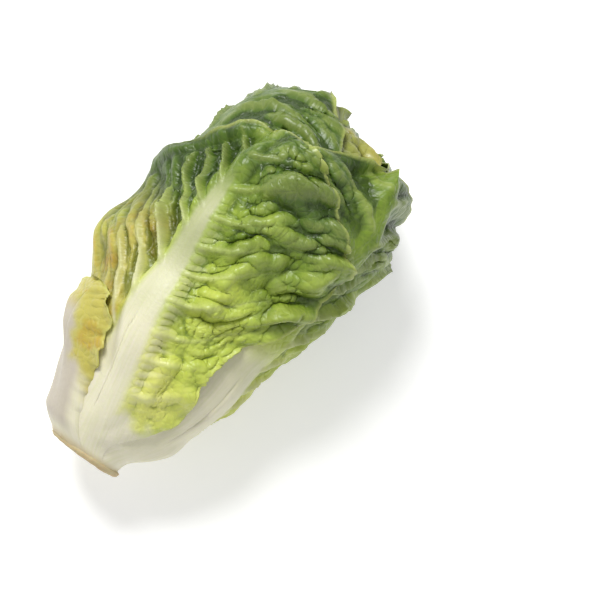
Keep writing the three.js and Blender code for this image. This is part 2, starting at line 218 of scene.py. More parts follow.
UNDER_LEFT = [
    (9.2, 0), (11, 10), (19, 21), (27, 35), (30, 50), (36, 67), (41, 83), (41, 100),
    (37, 116), (30, 129), (17, 137), (0, 139),
]
SHORT_RIGHT = [(10, 0), (11, 9), (12.5, 19), (14, 28), (15, 36), (13, 44), (8, 50), (0, 52)]
SHORT_LEFT = [(14, 0), (15, 9), (17, 20), (19, 30), (18, 39), (15, 47), (8, 51), (0, 52)]

# What a leaf has unless it says otherwise. Pairs are for its left and its right side.
# start: s of its base. fused: whether its base runs into the others. rib: how thick its rib is.
# flare: how far its tip stands off. ease: over how many grid steps it is lifted off what it covers.
# calm: how smooth its margin is. covered: how much of its relief is left out under other leaves.
# plain: its left side has no relief below this height. rib_ends: where the rib's ivory has faded
# and where it starts to. ivory: how broad that ivory is. darker: how much greener the leaf is.
# warm_tip: how yellow its tip is.
OUTER = dict(
    start=FUSED_FROM, fused=True, rib=1, flare=0, ease=12, calm=(0.5, 0.4), covered=(0, 0),
    plain=None, rib_ends=(114, 96), ivory=(1, 1), darker=0, warm_tip=0,
)
WRAPPED = dict(
    OUTER, fused=False, slope=(0.8, 0.8), white=(0.5, 0.5), calm=(0.2, 0.2), covered=(0.85, 0.85),
    crinkle=1.0,
)

# From the inside out. turn: the rib's place round the axis at the base and the tip, in degrees.
# share: how far out the leaf lies, of the head's radius. length, width: size of the common outline.
# slope: how steeply the side veins rise from the rib. white: how white the side veins are.
# crinkle: how strongly the blade is crinkled. grid: rows and columns.
LEAVES = [
    dict(WRAPPED, name="inner_leaf_1", turn=(205, 205), share=0.47, start=27, length=146, width=32,
         grid=(110, 64)),
    dict(WRAPPED, name="inner_leaf_2", turn=(68, 60), share=0.5, start=25, length=149, width=34,
         grid=(110, 64)),
    dict(WRAPPED, name="inner_leaf_3", turn=(-70, -62), share=0.54, start=22, length=150, width=37,
         grid=(110, 64)),
    dict(WRAPPED, name="inner_leaf_4", turn=(152, 146), share=0.58, start=18, length=151, width=41,
         grid=(110, 64)),
    dict(WRAPPED, name="inner_leaf_5", turn=(15, 8), share=0.62, start=14, length=154, width=45,
         crinkle=1.1, grid=(120, 70)),
    dict(WRAPPED, name="middle_leaf_1", turn=(-122, -126), share=0.67, start=10, length=153,
         width=50, grid=(140, 90)),
    dict(WRAPPED, name="middle_leaf_2", turn=(85, 78), share=0.71, start=7, length=156, width=53,
         white=(0.3, 0.3), crinkle=1.1, flare=3, darker=0.4, grid=(140, 90)),
    dict(WRAPPED, name="middle_leaf_3", turn=(-45, -40), share=0.76, start=4, length=156, width=54,
         white=(0.3, 0.3), crinkle=1.1, flare=3, darker=0.15, warm_tip=0.8, grid=(150, 96)),
    dict(OUTER, name="outer_leaf_side_right", turn=(116, 108), share=0.84, length=150, width=58,
         slope=(0.7, 0.7), white=(0.4, 0.4), crinkle=0.6, darker=0.25, grid=(180, 120)),
    dict(OUTER, name="outer_leaf_side_left", turn=(-104, -58), share=0.86, length=153, width=60,
         slope=(0.9, 0.7), white=(0.6, 0.6), crinkle=1.05, covered=(0, 0.9), flare=1, darker=0.3,
         grid=(190, 124)),
    dict(OUTER, name="outer_leaf_right", turn=(60, 44), share=0.91, left=RIGHT_LEFT,
         right=RIGHT_RIGHT, slope=(0.8, 0.6), white=(0.6, 0.5), crinkle=0.9, covered=(0.9, 0),
         rib_ends=(72, 56), ivory=(2.4, 1.1), grid=(220, 150)),
    dict(OUTER, name="outer_leaf_under", turn=(181, 179), share=0.94, left=UNDER_LEFT,
         right=UNDER_RIGHT, slope=(0.8, 0.8), white=(0.5, 0.5), crinkle=0.8, grid=(180, 120)),
    dict(OUTER, name="outer_leaf_front", turn=(-12, -28), share=0.99, left=FRONT_LEFT,
         right=FRONT_RIGHT, slope=(0.95, 0.42), white=(1.0, 0.25), crinkle=1.2, calm=(0.9, 0.4),
         plain=48, grid=(256, 176)),
    dict(OUTER, name="outer_leaf_short", turn=(-57, -56), share=0.9, left=SHORT_LEFT,
         right=SHORT_RIGHT, slope=(0.9, 0.9), white=(0.4, 0.2), crinkle=0.55, rib=0.4, ease=5,
         grid=(110, 60)),
]


# Small maths
def mix(a, b, t):
    return a + (b - a) * t


def smooth(x, low, high):
    """0 at low and beyond, 1 at high and beyond, and a soft step between. Either may be greater."""
    t = np.clip((x - low) / (high - low), 0, 1)
    return t * t * (3 - 2 * t)


def draw(k, j):
    """A repeatable draw from 0 to 1 for leaf k and purpose j."""
    x = np.sin(k * 12.9898 + j * 78.233) * 43758.5453
    return x - np.floor(x)


def noise(x, y, seed):
    """Smooth gradient noise, from about -0.7 to 0.7, the same in each run. seed tells noises apart.

    The large numbers are a hash's multipliers.
    """
    xi, yi = np.floor(x).astype(np.int64), np.floor(y).astype(np.int64)
    xf, yf = x - xi, y - yi

    def corner(i, j):
        h = ((xi + i) * 374761393 + (yi + j) * 668265263 + seed * 362437) & 0xFFFFFFFF
        h = ((h ^ (h >> 13)) * 1274126177) & 0xFFFFFFFF
        angle = (h ^ (h >> 16)) % 4096 / 4096 * TAU
        return np.cos(angle) * (xf - i) + np.sin(angle) * (yf - j)

    u = xf * xf * xf * (xf * (xf * 6 - 15) + 10)
    v = yf * yf * yf * (yf * (yf * 6 - 15) + 10)
    return mix(mix(corner(0, 0), corner(1, 0), u), mix(corner(0, 1), corner(1, 1), u), v)


def along_curve(points, t):
    """Points on a smooth curve through the given ones, at shares t of its length."""
    p = np.array(points, float)
    lengths = np.concatenate([[0], np.cumsum(np.linalg.norm(np.diff(p, axis=0), axis=1))])
    wanted = t * lengths[-1]
    i = np.clip(np.searchsorted(lengths, wanted, "left") - 1, 0, len(p) - 2)
    u = ((wanted - lengths[i]) / (lengths[i + 1] - lengths[i]))[:, None]
    p0, p1 = p[np.maximum(i - 1, 0)], p[i]
    p2, p3 = p[i + 1], p[np.minimum(i + 2, len(p) - 1)]
    return 0.5 * (2 * p1 + (p2 - p0) * u + (2 * p0 - 5 * p1 + 4 * p2 - p3) * u ** 2
                  + (3 * p1 - p0 - 3 * p2 + p3) * u ** 3)


def blurred(grid, rounds):
    """A grid, softened by its neighbours."""
    for _ in range(rounds):
        padded = np.pad(grid, 1, mode="edge")
        grid = (padded[1:-1, 1:-1] * 2 + padded[:-2, 1:-1] + padded[2:, 1:-1]
                + padded[1:-1, :-2] + padded[1:-1, 2:]) / 6
    return grid


# The head's own frame
def body_radius(s):
    grown = (1 - np.exp(-s / SWELL)) / (1 - math.exp(-SHOULDER / SWELL))
    return mix(BASE_RADIUS, BODY_RADIUS, grown) * (1 - BASE_TUCK * np.exp(-s / TUCK_REACH))


def sheet_rays(x, y, turn, share):
    """The rays on which sheet points lie: each starts q up the axis and has direction d."""
    past = y > SHOULDER
    radius = np.where(past, BODY_RADIUS, body_radius(np.minimum(y, SHOULDER))) * share
    arc = x / radius
    arc = np.where(past, np.clip(arc, -WIDEST_ARC, WIDEST_ARC), arc)
    rise = np.where(past, (y - SHOULDER) / (BODY_RADIUS * share), 0)
    cos_arc, sin_arc = np.cos(arc), np.sin(arc)
    d = np.stack([
        np.sin(rise) * cos_arc,
        -np.sin(turn) * np.cos(rise) * cos_arc - np.cos(turn) * sin_arc,
        np.cos(turn) * np.cos(rise) * cos_arc - np.sin(turn) * sin_arc,
    ], axis=-1)
    return np.minimum(y, SHOULDER), d


def head_radius(q, d):
    dome = BODY_RADIUS + DOME_EXTRA * d[..., 0] ** 2
    here = q + BODY_RADIUS * d[..., 0]
    slimmer = smooth(here, *LEFT_TAPER_STARTS) * smooth(here, *LEFT_TAPER_ENDS)
    slimmer = slimmer * smooth(d[..., 1], -0.2, 0.85)
    lower = smooth(here, *TOP_TAPER_STARTS) * smooth(d[..., 2], 0.1, 0.95)
    taper = LEFT_TAPER * slimmer + TOP_TAPER * lower
    return np.where(q < SHOULDER, body_radius(q), dome) - taper


def fused_radius(y, d):
    """How far out the outer leaves' run-together bases reach."""
    left = np.interp(y, *zip(*FUSED_LEFT))
    right = np.interp(y, *zip(*FUSED_RIGHT))
    return blurred(mix(right, left, smooth(d[..., 1], -0.6, 0.8)), 8)


def pressed(d):
    """How far the head's weight presses this side: 1 at the underside, 0 all round the rest."""
    return smooth(np.arccos(np.clip(-d[..., 2], -1, 1)), PRESSED_ARC * 1.5, PRESSED_ARC)


def on_rays(q, d, r):
    points = d * r[..., None]
    points[..., 0] += q
    return points


def rib_half_width(y):
    foot = mix(RIB_FOOT_SHARE, 1, smooth(y, 0, RIB_FOOT_LENGTH))
    return RIB_HALF_WIDTH * np.exp(-((y / RIB_NARROWS) ** 2)) * foot + RIB_LEAST_HALF_WIDTH


def rib_thickness(y, leaf):
    high = RIB_THICKNESS * leaf["rib"] * mix(INNERMOST_RIB_SHARE, 1, leaf["share"])
    return high * np.exp(-y / RIB_FADE) + RIB_LEAST_THICKNESS


def settled(points):
    """From the head's own frame to the part's, but not yet moved to its place."""
    x, y, z = points[..., 0], points[..., 1], points[..., 2]
    near = np.minimum(x, SHOULDER) / SHOULDER
    past = np.maximum(x - SHOULDER, 0) / SHOULDER
    bent = y - SIDE_BEND * (near ** 2 + 2 * past)
    c, s = math.cos(AXIS_TILT), math.sin(AXIS_TILT)
    return np.stack([x * c - z * s, bent, x * s + z * c], axis=-1)


def turned(profile, sides):
    """A grid of points round the axis, one ring for each (radius, s) of the profile."""
    p = np.array(profile, float)
    around = np.linspace(0, TAU, sides, endpoint=False)
    r, s = p[:, :1], p[:, 1:]
    return np.stack([s + 0 * around, -r * np.sin(around), r * np.cos(around)], axis=-1)


# The head's place in the part's frame, from where the solid of the stem lies
stem_low = np.array(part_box("cut_stem")[0]) / MM
PLACE = settled(turned(STEM_PROFILE, 360)).reshape(-1, 3).min(axis=0) - stem_low


def in_place(points):
    return settled(points) - PLACE


# Meshes
def in_scene(name, data):
    made = bpy.data.objects.new(name, data)
    bpy.context.scene.collection.objects.link(made)
    return made


def new_object(name, points, faces, material):
    mesh = bpy.data.meshes.new(name)
    mesh.from_pydata((points * MM).tolist(), [], faces)
    mesh.polygons.foreach_set("use_smooth", np.ones(len(mesh.polygons), bool))
    mesh.materials.append(material)
    return in_scene(name, mesh)


def add_attribute(made, name, values):
    kind = "FLOAT" if values.ndim == 1 else "FLOAT_VECTOR"
    socket = "value" if values.ndim == 1 else "vector"
    layer = made.data.attributes.new(name, kind, "POINT")
    layer.data.foreach_set(socket, values.astype(np.float32).ravel())


def grid_quads(rows, columns, first=0):
    i, j = np.meshgrid(np.arange(rows - 1), np.arange(columns - 1), indexing="ij")
    a = first + (i * columns + j).ravel()
    return np.stack([a, a + 1, a + columns + 1, a + columns], axis=1)


def closed_sheet(outer, inner):
    """Points and faces of a thin solid between two grids of the same shape."""
    rows, columns = outer.shape[:2]
    n = rows * columns
    ids = np.arange(n).reshape(rows, columns)
    rim = np.concatenate([ids[0, :-1], ids[:-1, -1], ids[-1, :0:-1], ids[:0:-1, 0]])
    ahead = np.roll(rim, -1)
    strip = np.stack([rim, rim + n, ahead + n, ahead], axis=1)
    front = grid_quads(rows, columns)
    back = grid_quads(rows, columns, n)[:, ::-1]
    points = np.concatenate([outer.reshape(-1, 3), inner.reshape(-1, 3)])
    return points, np.concatenate([front, back, strip])


# Pieces that are already laid, each as a tree of its outer side in the head's own frame
laid = []


def lay(points, faces):
    laid.append(BVHTree.FromPolygons(points.tolist(), faces.tolist()))


def reach_on(q, d):
    """How far out the pieces that are laid already reach on each ray."""
    shape = q.shape
    origins = on_rays(q, d, np.full(shape, OUTSIDE)).reshape(-1, 3)
    directions = -d.reshape(-1, 3)
    reach = np.zeros(len(origins))
    for n, (origin, direction) in enumerate(zip(origins.tolist(), directions.tolist())):
        best = OUTSIDE
        for tree in laid:
            found = tree.ray_cast(origin, direction, best)
            if found[3] is not None:
                best = found[3]
        reach[n] = OUTSIDE - best
    return reach.reshape(shape)


def coarse_reach(q, d):
    """reach_on at every second grid point, spread to the rest."""
    rows, columns = q.shape
    i = np.unique(np.append(np.arange(0, rows, 2), rows - 1))
    j = np.unique(np.append(np.arange(0, columns, 2), columns - 1))
    reach = reach_on(q[np.ix_(i, j)], d[np.ix_(i, j)])
    along = np.array([np.interp(np.arange(columns), j, line) for line in reach])
    return np.array([np.interp(np.arange(rows), i, line) for line in along.T]).T


def widened(grid, rounds):
    """A grid in which each value is the largest of its neighbours."""
    for _ in range(rounds):
        padded = np.pad(grid, 1, mode="edge")
        grid = np.maximum.reduce([
            padded[1:-1, 1:-1], padded[:-2, 1:-1], padded[2:, 1:-1],
            padded[1:-1, :-2], padded[1:-1, 2:],
        ])
    return grid


def lifted(r, reach, spread):
    """r, raised with soft slopes wherever it would come closer than the reach."""
    for _ in range(2):
        need = np.maximum(reach - r, 0)
        r = r + blurred(widened(need, spread), spread * spread // 3 + 2)
    return np.maximum(r, reach)


# Leaves
def on_sides(sheet, pair):
    """The first value on the leaf's left side and the second on its right."""
    return np.where(sheet["side"] < 0, pair[0], pair[1])


def outlines(leaf):
    if "right" in leaf:
        return leaf["left"], leaf["right"]
    side = [(x * leaf["width"], y * leaf["length"]) for x, y in COMMON_OUTLINE]
    return side, side


def spread_sheet(leaf, k):
    """The leaf's sheet, spread flat on a grid: a dict of arrays."""
    rows, columns = leaf["grid"]
    left, right = outlines(leaf)
    tip = left[-1][1]
    a = (np.linspace(0, 1, rows) ** ROW_POWER) * TIP_CUT
    across = np.linspace(-1, 1, columns + 1)
    share = np.abs(across)
    side = np.where(across < 0, -1, 1)
    edges = np.where(side[None, :, None] < 0, along_curve(left, a)[:, None],
                     along_curve(right, a)[:, None])
    # The margin is a little toothed and lobed
    run = a[:, None] * MARGIN_RUN + side * 40
    teeth = TOOTH_DEPTH * noise(run / TOOTH_LENGTH, side * 3.3 + k, 11)
    teeth = teeth + MARGIN_LOBE_DEPTH * noise(run / MARGIN_LOBE_LENGTH, side * 5.1 + k, 12)
    edge_x = edges[..., 0] + teeth * smooth(a, 0.08, 0.3)[:, None] * smooth(a, 1, 0.93)[:, None]
    y_spine = (tip * a)[:, None]
    x = across * edge_x
    y = mix(y_spine, edges[..., 1], share)
    rib_share = np.minimum(rib_half_width(y_spine), edge_x * 0.8) / edge_x
    out = np.clip((share - rib_share) / (1 - rib_share), 0, 1)
    y_placed = leaf["start"] + y * (tip - leaf["start"]) / tip
    return dict(a=a[:, None] + 0 * x, x=x, y=y_placed, out=out, share=share + 0 * x,
                side=side + 0 * x, edge=edge_x * (1 - share), run=run + 0 * x, tip=tip, seed=17 * k)


def broad_folds(k, sheet):
    """The low broad folds that the solids have too."""
    a, out, side = sheet["a"], sheet["out"], sheet["side"]
    waves = 3.6 + 1.2 * draw(k, 3 + side)
    phase = TAU * draw(k, 5 + side)
    high = smooth(a, 0.08, 0.3) * smooth(out, 0, 1)
    fold = BROAD_FOLD_HEIGHT * np.cos(TAU * waves * a + phase + 1.4 * out)
    return high * (fold + BROAD_MARGIN_RISE * out ** 4)


def side_veins(leaf, sheet):
    """t across the side veins, the gap to the nearest, how far inside a panel, the panel's lot."""
    far = np.abs(sheet["x"])
    seed = sheet["seed"]
    wander = VEIN_WANDER * noise(sheet["x"] / 23, sheet["y"] / 23, seed + 1)
    t = sheet["y"] - on_sides(sheet, leaf["slope"]) * far - VEIN_CURVE * far ** 2 + wander
    spacing = on_sides(sheet, VEIN_SPACING)
    count = t / spacing + 0.5 * noise(t / 29, sheet["side"] * 7.7, seed + 2)
    part = count - np.floor(count)
    vein_gap = np.minimum(part, 1 - part) * spacing
    lot = draw(np.floor(count) + 40 * sheet["side"], seed % 13 + 1)
    return t, vein_gap, np.sin(math.pi * part), lot


def fine_comb(sheet, t, from_rib, white):
    """Short fine ribs, like the teeth of a comb, that run a little way into the blade."""
    y, side, seed = sheet["y"], sheet["side"], sheet["seed"]
    part = t / COMB_SPACING + 0.7 * noise(y / 9, side * 2.3, seed + 9)
    gap = np.abs(part - np.round(part)) * COMB_SPACING
    end = COMB_LENGTH + 9 * noise(t / 3.1, side * 4.1, seed + 10)
    comb = np.exp(-((gap / COMB_WIDTH) ** 2)) * smooth(from_rib, -1, 1) * smooth(from_rib, end, 1)
    return comb * smooth(y, 18, 32) * smooth(y, 108, 78) * (1 - white)


def fold_fields(sheet, t):
    """Noise from long folds along the side veins, bent and broken up, down to small crumples."""
    x, y, side, seed = sheet["x"], sheet["y"], sheet["side"], sheet["seed"]
    bend_x = 7 * noise(x / 19, y / 19, seed + 3) + 2.5 * noise(x / 7, y / 7, seed + 13)
    bend_t = 6 * noise(x / 17 + 5, y / 17, seed + 4) + 2.2 * noise(x / 6.5, y / 6.5, seed + 14)
    along, across = np.abs(x) + bend_x, t + bend_t
    long = noise(along / LONG_FOLD[0] + side * 9, across / LONG_FOLD[1], seed + 5)
    short = noise(along / SHORT_FOLD[0], across / SHORT_FOLD[1], seed + 6)
    lobes = noise((x + 0.5 * bend_t) / LOBE, (y + 0.5 * bend_x) / LOBE, seed + 16)
    pimples = noise((x + bend_x) / PIMPLE, (y + bend_t) / PIMPLE, seed + 7)
    crumples = noise((x - bend_x) / CRUMPLE, (y - bend_t) / CRUMPLE, seed + 17)
    return [np.abs(field) for field in (long, short, lobes, pimples, crumples)]


def relief(leaf, sheet):
    """Heights of veins, hollows, blisters and creases over the leaf's broad form."""
    x, y, side, out = sheet["x"], sheet["y"], sheet["side"], sheet["out"]
    seed = sheet["seed"]
    t, vein_gap, panel, lot = side_veins(leaf, sheet)
    from_rib = np.abs(x) - rib_half_width(y)
    white = on_sides(sheet, leaf["white"])
    vein_width = mix(*VEIN_WIDTH, white) * mix(1.1, 0.7, out)
    ridge = np.exp(-((vein_gap / vein_width) ** 2)) * smooth(from_rib, -3, 2) * (1 - 0.7 * out)
    comb = fine_comb(sheet, t, from_rib, white)
    long, short, lobes, pimples, crumples = fold_fields(sheet, t)

    # Some parts of the blade are busier, the lower right is low, and it is papery by its margin
    busy = smooth(noise(x / 24, y / 24, seed + 15), -0.2, 0.25)
    low = smooth(y, 62, 40) * (side > 0)
    papery = smooth(y, 86, 64) * smooth(out, 0.2, 0.5) * (side > 0)
    hollow = smooth(from_rib, 0, 4) * smooth(from_rib, 27, 9)
    swell = smooth(from_rib, 3, 15)
    crest = CREST_HEIGHT * np.exp(-long * CREST_SHARPNESS) * mix(0.4, 1, busy)
    long_folds = LONG_FOLD_HEIGHT * long - LONG_FOLD_SINKS + crest
    short_folds = SHORT_FOLD_HEIGHT * (short - 0.16) * mix(0.3, 1.1, busy)
    fine = PIMPLE_HEIGHT * pimples + CRUMPLE_HEIGHT * crumples

    height = mix(*VEIN_HEIGHT, white) * ridge + COMB_HEIGHT * comb - BLADE_SINKS * swell
    height = height - mix(*HOLLOW_DEPTH, white) * panel * hollow
    height = height + PANEL_HEIGHT * (panel ** 0.6) * mix(0.2, 1.2, lot) * swell * (1 - low)
    height = height + long_folds * swell * mix(1, 0.5, white) * (1 - 0.8 * low)
    height = height + short_folds * swell * (1 - 0.5 * low)
    height = height + low + LOBE_HEIGHT * (lobes - 0.12) * smooth(from_rib, 1, 7) * low
    height = height * (1 - 0.45 * papery)
    height = height + fine * smooth(from_rib, 1, 10) * mix(0.25, 1, busy)

    # The margin is calmer, a little rolled and waved
    calm = on_sides(sheet, leaf["calm"])
    height = height * (1 - calm * smooth(sheet["edge"], 9, 4))
    height = height + MARGIN_ROLL * calm * smooth(sheet["edge"], 6, 2.5)
    wave = noise(sheet["run"] / 9, side * 3.1, seed + 8)
    height = height + MARGIN_WAVE * (1 - calm) * wave * smooth(sheet["edge"], 12, 0)
    strength = leaf["crinkle"] * smooth(y, 11, 36) * smooth(sheet["a"], 0.995, 0.95)
    if leaf["plain"]:
        strength = strength * np.where(side < 0, smooth(y, leaf["plain"], leaf["plain"] + 10), 1)
    return height * strength, ridge, comb


def pinched(points, height, strength):
    """Points moved down the slopes of the relief, so that its domes widen and its creases close."""
    along, across = np.gradient(points, axis=0), np.gradient(points, axis=1)
    rise_along, rise_across = np.gradient(height)
    step = (rise_along / np.maximum((along ** 2).sum(-1), 0.02))[..., None] * along
    step = step + (rise_across / np.maximum((across ** 2).sum(-1), 0.02))[..., None] * across
    size = np.linalg.norm(step, axis=-1, keepdims=True)
    return points - (PINCH * strength)[..., None] * step / np.maximum(size, 1)


def leaf_colours(leaf, sheet, height, ridge, comb):
    """What the leaf's material reads: green, pale, warm, rim, cut, and painted shade and light."""
    x, y, out, side = sheet["x"], sheet["y"], sheet["out"], sheet["side"]
    seed = sheet["seed"]
    white = on_sides(sheet, leaf["white"])
    white_left = smooth(x, -4, -14) * white
    patches = noise(x / PATCH, y / PATCH, seed + 21)

    green = smooth(y, 10, 122) * 0.95 + 0.2 * out - 0.1 + 0.3 * patches
    green = green - 0.25 * (1 - leaf["share"]) + leaf["darker"]
    green = green + 0.3 * white_left * (1 - ridge) * smooth(y, 50, 85)

    # Pale are the rib, the base with its uneven shore, the side veins and the comb
    rib = rib_half_width(y)
    ivory_width = rib * on_sides(sheet, leaf["ivory"])
    core = smooth(np.abs(x), ivory_width * 1.2, ivory_width * 0.62) * smooth(y, *leaf["rib_ends"])
    shore = y + 0.3 * np.abs(x) + 7 * noise(x / 9, y / 9, seed + 22)
    shore = shore + 3 * noise(x / 4, y / 4, seed + 23)
    base = smooth(shore, 27, 19)
    veins = ridge * mix(1.0, 0.2, smooth(y, 68, 112)) * mix(1, 0.25, out) * mix(0.3, 1, white)
    off_margin = smooth(sheet["edge"], 4, 9)
    pale = np.maximum.reduce([core, base, 0.85 * veins * off_margin, 0.75 * comb])

    warm = smooth(y, 20, 34) * smooth(y, 96, 66) * mix(0.1, 1, white_left) * (0.95 + 0.8 * patches)
    warm = warm + leaf["warm_tip"] * smooth(y, 112, 130) * (0.6 + patches)
    rim = smooth(sheet["edge"], 1.8, 0.2) * smooth(y, 10, 30)
    shaded = 0 * y
    if leaf["name"] == "outer_leaf_short":
        warm = 0.95 + 0.4 * patches
        rim = rim * smooth(y, 24, 34)
        rib_part = smooth(x + 3 * noise(x / 5, y / 5, seed + 24), 4, 0.5) * smooth(y, 44, 36)
        pale = np.maximum(base, rib_part)
        # The foot's rib is lilac grey, darkened with painted shade
        shaded = smooth(sheet["share"], 0.88, 0.45) * smooth(y, 0.5, 5)
    if leaf["name"] == "outer_leaf_front":
        # Painted shade: the front leaf's upper left margin band is made darker green, with little
        # rim
        painted_shade_band = (side < 0) * smooth(y, 70, 90) * smooth(y, 122, 110)
        green = green + 0.6 * smooth(sheet["edge"], 7, 3.5) * painted_shade_band
        rim = rim * (1 - 0.8 * painted_shade_band)
    cut = 0.8 * smooth(y, 2.4, -0.4)

    # Painted shade darkens the places that lie lower than what is near them or wider round them,
    # more so toward the top and in the hollows between the white veins on the left, and painted
    # light brightens those that lie higher. Part of it is also the leaf's own darker valleys and
    # paler ridges.
    near = blurred(height, NEAR_ROUNDS) - height
    wide = blurred(height, WIDE_ROUNDS) - height
    relief_tone_and_painted_shading = (0.9 * near + 0.4 * wide) * mix(1, 1.9, smooth(y, 85, 120))
    painted_hollow_shade = white_left * (1 - ridge) * smooth(np.abs(x) - rib, 0, 4)
    relief_tone_and_painted_shading = np.clip(relief_tone_and_painted_shading + mix(0.35, 0.75, smooth(y, 50, 85)) * painted_hollow_shade, -1, 1)
    return dict(green=green, pale=pale, warm=np.clip(warm, 0, 1), rim=rim, cut=cut, relief_tone_and_painted_shading=relief_tone_and_painted_shading,
                shaded=shaded)


def leaf_radii(leaf, k, sheet, rays, height, flat):
    """How far out the leaf's two sides lie on its rays, and how free it is of what lies below."""
    q, d = rays
    y = sheet["y"]
    rib = np.clip(1 - (sheet["x"] / rib_half_width(y)) ** 2, 0, 1)
    blade = mix(MARGIN_THICKNESS, BLADE_THICKNESS, smooth(sheet["edge"], 0, 3))
    thick = blade + rib_thickness(y, leaf) * rib * smooth(sheet["a"], 1, 0.9)
    reach = coarse_reach(q, d) + GAP
    form = head_radius(q, d) * leaf["share"] + broad_folds(k, sheet) * leaf["share"] ** 2 * flat
    form = form + leaf["flare"] * smooth(y, 114, 138)
    form = lifted(form - thick, reach, leaf["ease"])
    inner = lifted(form + height, reach, 3)
    room = smooth(inner - reach, 0, 1.5) * smooth(sheet["a"], 0.99, 0.93)
    outer = inner + thick
    if leaf["fused"]:
        layer = FUSED_RIB * rib + FUSED_LAYER * (k - FIRST_OUTER)
        fused = fused_radius(y, d) + layer * smooth(y, FUSED_FROM, 5)
        outer = mix(outer, fused, smooth(y, FUSED_TO, 4))
        if leaf["name"] == "outer_leaf_short":
            grown_on = blurred(widened(reach, 10), 120) + 0.2 - 3.4 * sheet["share"] ** 6
            outer = mix(outer, grown_on, smooth(y, 32, 20) * smooth(y, 0, 7))
        inner = outer - thick
    return inner, outer, room


def make_leaf(leaf, k, material):
    sheet = spread_sheet(leaf, k)
    turn = np.radians(mix(*leaf["turn"], sheet["y"] / sheet["tip"]))
    q, d = sheet_rays(sheet["x"], sheet["y"], turn, leaf["share"])
    flat = 1 - PRESSED_FLAT * pressed(d)
    height, ridge, comb = relief(leaf, sheet)
    covered = on_sides(sheet, leaf["covered"]) * smooth(sheet["y"], 130, 108)
    height = height * (1 - covered) * flat
    inner, outer, room = leaf_radii(leaf, k, sheet, (q, d), height, flat)
    squeeze = room * (1 - 0.8 * ridge) * on_sides(sheet, (1 - 0.5 * leaf["white"][0], 1))
    inner_points = pinched(on_rays(q, d, inner), height, squeeze)
    outer_points = pinched(on_rays(q, d, outer), height, squeeze)
    lay(outer_points.reshape(-1, 3), grid_quads(*q.shape))
    outer_points, inner_points = in_place(outer_points), in_place(inner_points)
    outer_points[..., 2] = np.maximum(outer_points[..., 2], 0)
    inner_points[..., 2] = np.maximum(inner_points[..., 2], MARGIN_THICKNESS)
    points, faces = closed_sheet(outer_points, inner_points)
    made = new_object(leaf["name"] + "_fine", points, faces.tolist(), material)
    for name, values in leaf_colours(leaf, sheet, height, ridge, comb).items():
        add_attribute(made, name, np.tile(values.ravel(), 2))
    # Where each point lies on the flat leaf, with the leaves apart, for the material's textures
    flat_place = np.stack([sheet["x"], sheet["y"], 0 * sheet["x"] + 50 * k], axis=-1).reshape(-1, 3)
    add_attribute(made, "sheet", np.tile(flat_place, (2, 1)))
    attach(made, "root")
    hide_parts(leaf["name"])


# Materials
class Nodes:
    """A material's node tree, with short calls for the nodes used here."""

    def __init__(self, name):
        self.material = bpy.data.materials.new(name)
        self.material.use_nodes = True
        self.tree = self.material.node_tree
        self.shader = self.tree.nodes["Principled BSDF"]

    def add(self, kind, **settings):
        node = self.tree.nodes.new(kind)
        for key, value in settings.items():
            setattr(node, key, value)
        return node

    def link(self, value, socket):
        if isinstance(value, bpy.types.NodeSocket):
            self.tree.links.new(value, socket)
        else:
            socket.default_value = value

    def attribute(self, name, output="Fac"):
        return self.add("ShaderNodeAttribute", attribute_name=name).outputs[output]

    def maths(self, operation, a, b=0.0, clamp=False):
        node = self.add("ShaderNodeMath", operation=operation, use_clamp=clamp)
        self.link(a, node.inputs[0])
        self.link(b, node.inputs[1])
        return node.outputs[0]

    def blend(self, factor, a, b, how="MIX"):
        """Colour a turned into colour b. A Mix node has its colours in sockets 6, 7 and 2."""
        node = self.add("ShaderNodeMix", data_type="RGBA", blend_type=how)
        self.link(factor, node.inputs[0])
        self.link(a, node.inputs[6])
        self.link(b, node.inputs[7])
        return node.outputs[2]

    def remap(self, value, low, high, to_low, to_high):
        node = self.add("ShaderNodeMapRange")
        for n, number in enumerate((value, low, high, to_low, to_high)):
            self.link(number, node.inputs[n])
        return node.outputs[0]

    def ramp(self, factor, stops):
        node = self.add("ShaderNodeValToRGB")
        ramp = node.color_ramp
        while len(ramp.elements) < len(stops):
            ramp.elements.new(0.5)
        for element, (place, colour) in zip(ramp.elements, stops):
            element.position = place
            element.color = (*colour, 1)
        self.link(factor, node.inputs[0])
        return node.outputs[0]

    def noise(self, place, scale, output="Fac"):
        node = self.add("ShaderNodeTexNoise")
        self.link(place, node.inputs["Vector"])
        node.inputs["Scale"].default_value = scale
        node.inputs["Detail"].default_value = 3.0
        node.inputs["Roughness"].default_value = 0.55
        return node.outputs[output]

    def cells(self, place, scale):
        node = self.add("ShaderNodeTexVoronoi", feature="DISTANCE_TO_EDGE")
        self.link(place, node.inputs["Vector"])
        node.inputs["Scale"].default_value = scale
        return node.outputs["Distance"]

    def stretched(self, place, by):
        node = self.add("ShaderNodeMapping")
        self.link(place, node.inputs["Vector"])
        node.inputs["Scale"].default_value = by
        return node.outputs[0]

    def constants(self, values):
        """What is the same all over the surface, on the shader's own sockets."""
        for socket, value in values.items():
            self.shader.inputs[socket].default_value = value

    def bump(self, height, distance):
        node = self.add("ShaderNodeBump")
        node.inputs["Distance"].default_value = distance
        self.link(height, node.inputs["Height"])
        self.link(node.outputs[0], self.shader.inputs["Normal"])


IVORY = (0.76, 0.72, 0.55, 1)
IVORY_SHADE = (0.71, 0.69, 0.47, 1)
IVORY_DIM = (0.74, 0.75, 0.67, 1)
PALE_GREEN = (0.42, 0.50, 0.20, 1)
YELLOW = (0.46, 0.405, 0.085, 1)
OCHRE = (0.46, 0.30, 0.03, 1)
RIM_YELLOW = (0.56, 0.60, 0.18, 1)
TAN = (0.52, 0.42, 0.22, 1)
